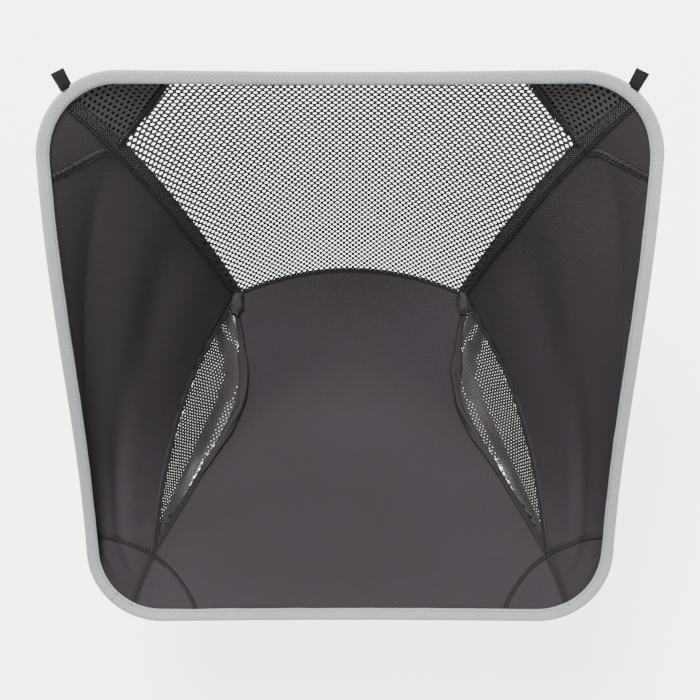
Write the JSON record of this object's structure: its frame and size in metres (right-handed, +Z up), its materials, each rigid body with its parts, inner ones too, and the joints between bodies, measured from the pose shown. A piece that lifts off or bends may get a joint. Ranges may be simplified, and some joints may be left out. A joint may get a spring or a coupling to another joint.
{
  "type": "folding camp chair",
  "caption": "Compact folding camp chair: a bucket sling of cloth and mesh with pale edge binding, hung on a hubbed four-pole frame with shock-corded legs.",
  "frame": {"origin": "on the floor, under the middle of the chair", "axes": "+Z up, +Y towards the back of the chair, +X to the right seen from above with the back at the top"},
  "size_m": [0.543, 0.5205, 0.6603],
  "materials": {
    "panel_cloth": "plain-woven polyester, charcoal",
    "net_cloth": "open warp-knit mesh, near black",
    "edge_binding": "woven binding tape, pale grey",
    "webbing": "ribbed webbing, black",
    "pole": "dark anodised, satin",
    "hub_plastic": "moulded, fine texture",
    "foot_rubber": "matt",
    "steel": "satin",
    "shock_cord": "braided sleeve"
  },
  "bodies": {
    "back_frame": {"crossbar": "pole", "back_mesh": "net_cloth", "edge_binding": "edge_binding", "hub_inner_left": "hub_plastic", "hub_inner_right": "hub_plastic", "hub_washer_left": "steel", "hub_washer_right": "steel", "pivot_bolt_left": "steel", "pivot_bolt_right": "steel", "rear_upright_lower_left": "pole", "rear_upright_lower_right": "pole", "rear_upright_upper_left": "pole", "rear_upright_upper_right": "pole", "ferrule_left": "steel", "ferrule_right": "steel", "rear_upright_cord_left": "shock_cord", "rear_upright_cord_right": "shock_cord", "rear_tip_left": "hub_plastic", "rear_tip_right": "hub_plastic", "front_leg_cord_left": "shock_cord", "front_leg_cord_right": "shock_cord", "back_border_left": "net_cloth", "back_border_right": "net_cloth", "rear_pocket_left": "net_cloth", "rear_pocket_right": "net_cloth", "side_panel_left": "panel_cloth", "side_panel_right": "panel_cloth", "pull_tab_left": "webbing", "pull_tab_right": "webbing"},
    "seat_frame": {"seat_panel": "panel_cloth", "hub_outer_left": "hub_plastic", "hub_outer_right": "hub_plastic", "front_upright_left": "pole", "front_upright_right": "pole", "front_tip_left": "hub_plastic", "front_tip_right": "hub_plastic", "rear_leg_cord_left": "shock_cord", "rear_leg_cord_right": "shock_cord", "gusset_mesh_left": "net_cloth", "gusset_mesh_right": "net_cloth", "front_pocket_left": "panel_cloth", "front_pocket_right": "panel_cloth"},
    "front_leg_left_body": {"front_leg_left": "pole", "front_foot_left": "foot_rubber"},
    "front_leg_right_body": {"front_leg_right": "pole", "front_foot_right": "foot_rubber"},
    "rear_leg_left_body": {"rear_leg_left": "pole", "rear_foot_left": "foot_rubber"},
    "rear_leg_right_body": {"rear_leg_right": "pole", "rear_foot_right": "foot_rubber"}
  },
  "joints": [
    {"name": "frame_fold", "type": "hinge", "parent": "back_frame", "child": "seat_frame", "pos_m": [0, 0.003, 0.215], "axis": [1, 0, 0], "range_deg": [-60, 0], "deforming": ["seat_panel", "gusset_mesh_left", "gusset_mesh_right", "side_panel_left", "side_panel_right", "edge_binding"]},
    {"name": "front_leg_left_pull", "type": "slide", "parent": "back_frame", "child": "front_leg_left_body", "axis": [-0.3399, -0.6214, -0.7059], "range_m": [0, 0.028], "stiffness_N_per_m": 300, "springref_m": -0.03},
    {"name": "front_leg_right_pull", "type": "slide", "parent": "back_frame", "child": "front_leg_right_body", "axis": [0.3399, -0.6214, -0.7059], "range_m": [0, 0.028], "stiffness_N_per_m": 300, "springref_m": -0.03},
    {"name": "rear_leg_left_pull", "type": "slide", "parent": "seat_frame", "child": "rear_leg_left_body", "axis": [-0.3858, 0.6058, -0.6958], "range_m": [0, 0.028], "stiffness_N_per_m": 300, "springref_m": -0.03},
    {"name": "rear_leg_right_pull", "type": "slide", "parent": "seat_frame", "child": "rear_leg_right_body", "axis": [0.3858, 0.6058, -0.6958], "range_m": [0, 0.028], "stiffness_N_per_m": 300, "springref_m": -0.03}
  ]
}
